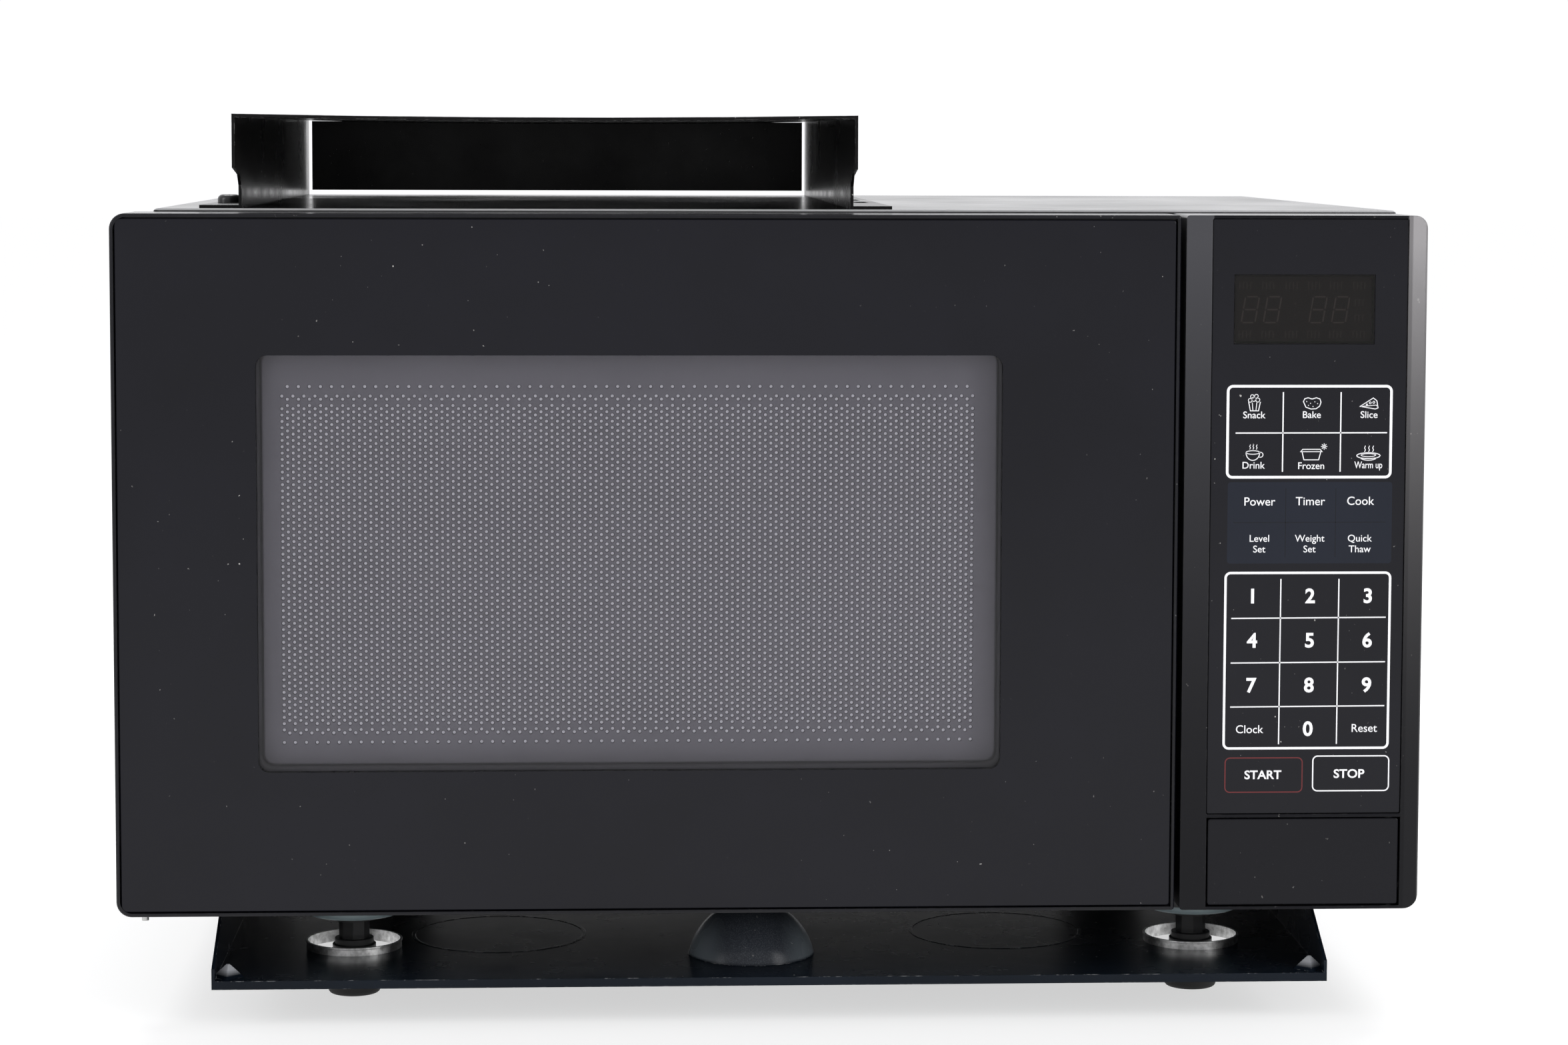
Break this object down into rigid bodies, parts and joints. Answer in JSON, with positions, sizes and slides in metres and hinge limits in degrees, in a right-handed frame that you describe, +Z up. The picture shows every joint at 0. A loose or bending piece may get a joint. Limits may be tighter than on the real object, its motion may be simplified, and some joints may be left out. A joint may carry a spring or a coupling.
{
  "type": "microwave oven",
  "caption": "Black microwave oven with side-hinged windowed door, keypad panel with push-to-open button, turntable, hat-section top bracket, under-base pan and stand-off feet.",
  "frame": {"origin": "middle of the footprint on the resting plane under the feet", "axes": "+X to the user's right, +Y to the back of the oven, +Z up; the door faces -Y"},
  "size_m": [0.51, 0.393, 0.3572],
  "materials": {
    "black_gloss_frame": "black moulded plastic, low gloss",
    "door_glass": "tempered glass with black mask print",
    "screen_steel": "dark grey painted steel, perforated",
    "inner_panel": "black painted steel",
    "clear_film": "clear polymer film",
    "choke_plastic": "dark grey moulded plastic",
    "latch_plastic": "white acetal",
    "spring_steel": "spring wire",
    "hinge_steel": "zinc plated steel",
    "panel_satin": "satin charcoal moulded plastic",
    "overlay_print": "printed polycarbonate sheet",
    "display_glass": "unlit segment display",
    "circuit_board": "green laminate with components",
    "button_black": "satin black plastic",
    "casing_paint": "gloss black paint on steel",
    "base_paint": "black paint on galvanised steel",
    "cavity_paint": "grey enamel",
    "mica": "mica sheet",
    "galvanised": "galvanised steel",
    "tray_glass": "clear tempered glass",
    "ring_plastic": "off-white heat resistant plastic",
    "core_iron": "varnished laminated iron",
    "copper_enamel": "enamelled copper winding",
    "can_metal": "drawn aluminium can",
    "black_plastic": "black moulded plastic",
    "bracket_paint": "gloss black powder coat",
    "pan_paint": "gloss black powder coat",
    "collar_steel": "bare turned steel",
    "screw_black": "black oxide steel",
    "foot_plastic": "black moulded plastic",
    "foot_rubber": "black rubber"
  },
  "bodies": {
    "cabinet": {"hinge_lower": "hinge_steel", "hinge_upper": "hinge_steel", "control_panel": "panel_satin", "keypad_overlay": "overlay_print", "display_module": "display_glass", "control_board": "circuit_board", "button_spring": "spring_steel", "interlock_bracket": "latch_plastic", "interlock_switches": "black_plastic", "front_plate": "inner_panel", "outer_casing": "casing_paint", "base_plate": "base_paint", "back_panel": "base_paint", "cord_bushing": "black_plastic", "cavity_wrap": "cavity_paint", "cavity_floor": "cavity_paint", "cavity_rear_wall": "cavity_paint", "waveguide_cover": "mica", "waveguide": "galvanised", "turntable_motor": "galvanised", "magnetron": "galvanised", "transformer_core": "core_iron", "transformer_windings": "copper_enamel", "capacitor": "can_metal", "capacitor_clamp": "galvanised", "hv_diode": "black_plastic", "fan_shroud": "black_plastic", "fan_motor": "core_iron", "cavity_lamp": "ring_plastic", "thermal_cutout": "black_plastic", "filter_board": "circuit_board", "top_bracket": "bracket_paint", "bracket_screws": "screw_black", "bottom_tray": "pan_paint", "tray_collars": "collar_steel", "tray_screws": "screw_black", "foot_front_left": "foot_plastic", "foot_rear_left": "foot_plastic", "foot_front_right": "foot_plastic", "foot_rear_right": "foot_plastic", "foot_pads": "foot_rubber", "casing_screws": "screw_black"},
    "door": {"door_frame": "black_gloss_frame", "door_glass": "door_glass", "door_screen": "screen_steel", "door_panel": "inner_panel", "door_inner_film": "clear_film", "choke_cover": "choke_plastic", "latch_spring": "spring_steel"},
    "latch": {"latch_hooks": "latch_plastic"},
    "button": {"release_button": "button_black"},
    "lever": {"release_lever": "latch_plastic"},
    "coupler": {"turntable_coupler": "ring_plastic"},
    "tray": {"turntable_tray": "tray_glass"},
    "ring": {"roller_ring": "ring_plastic"},
    "wheel_a": {"roller_a": "ring_plastic"},
    "wheel_b": {"roller_b": "ring_plastic"},
    "wheel_c": {"roller_c": "ring_plastic"},
    "fan": {"fan_impeller": "black_plastic"}
  },
  "joints": [
    {"name": "door_hinge", "type": "hinge", "parent": "cabinet", "child": "door", "pos_m": [-0.2477, -0.1655, 0.1825], "axis": [0, 0, -1], "range_deg": [0, 105]},
    {"name": "latch_slide", "type": "slide", "parent": "door", "child": "latch", "axis": [0, 0, 1], "range_m": [0, 0.003], "deforming": ["latch_spring"]},
    {"name": "release_press", "type": "slide", "parent": "cabinet", "child": "button", "axis": [0, 1, 0], "range_m": [0, 0.005], "stiffness_N_per_m": 400, "springref_m": -0.004, "deforming": ["button_spring"]},
    {"name": "release_lever_turn", "type": "hinge", "parent": "cabinet", "child": "lever", "pos_m": [0.1885, -0.1505, 0.092], "axis": [1, 0, 0], "range_deg": [0, 11.5]},
    {"name": "turntable_spin", "type": "hinge", "parent": "cabinet", "child": "coupler", "pos_m": [-0.061, 0.0055, 0.074], "axis": [0, 0, 1], "continuous": true},
    {"name": "tray_lift", "type": "slide", "parent": "coupler", "child": "tray", "axis": [0, 0, 1], "range_m": [0, 0.03]},
    {"name": "ring_spin", "type": "hinge", "parent": "cabinet", "child": "ring", "pos_m": [-0.061, 0.0055, 0.0753], "axis": [0, 0, 1], "continuous": true},
    {"name": "fan_spin", "type": "hinge", "parent": "cabinet", "child": "fan", "pos_m": [0.188, 0.1685, 0.246], "axis": [0, -1, 0], "continuous": true},
    {"name": "wheel_a_spin", "type": "hinge", "parent": "ring", "child": "wheel_a", "pos_m": [-0.061, 0.09475, 0.0753], "axis": [0, 1, 0], "continuous": true},
    {"name": "wheel_b_spin", "type": "hinge", "parent": "ring", "child": "wheel_b", "pos_m": [-0.13829, -0.03913, 0.0753], "axis": [-0.866, -0.5, 0], "continuous": true},
    {"name": "wheel_c_spin", "type": "hinge", "parent": "ring", "child": "wheel_c", "pos_m": [0.01629, -0.03913, 0.0753], "axis": [0.866, -0.5, 0], "continuous": true}
  ],
  "couplings": [
    {"joint": "latch_slide", "follows": "release_press", "ratio": 0.6},
    {"joint": "release_lever_turn", "follows": "release_press", "rad_per_m": 40},
    {"joint": "ring_spin", "follows": "turntable_spin", "ratio": 0.5},
    {"joint": "wheel_a_spin", "follows": "turntable_spin", "ratio": -5.5781},
    {"joint": "wheel_b_spin", "follows": "turntable_spin", "ratio": -5.5781},
    {"joint": "wheel_c_spin", "follows": "turntable_spin", "ratio": -5.5781}
  ]
}
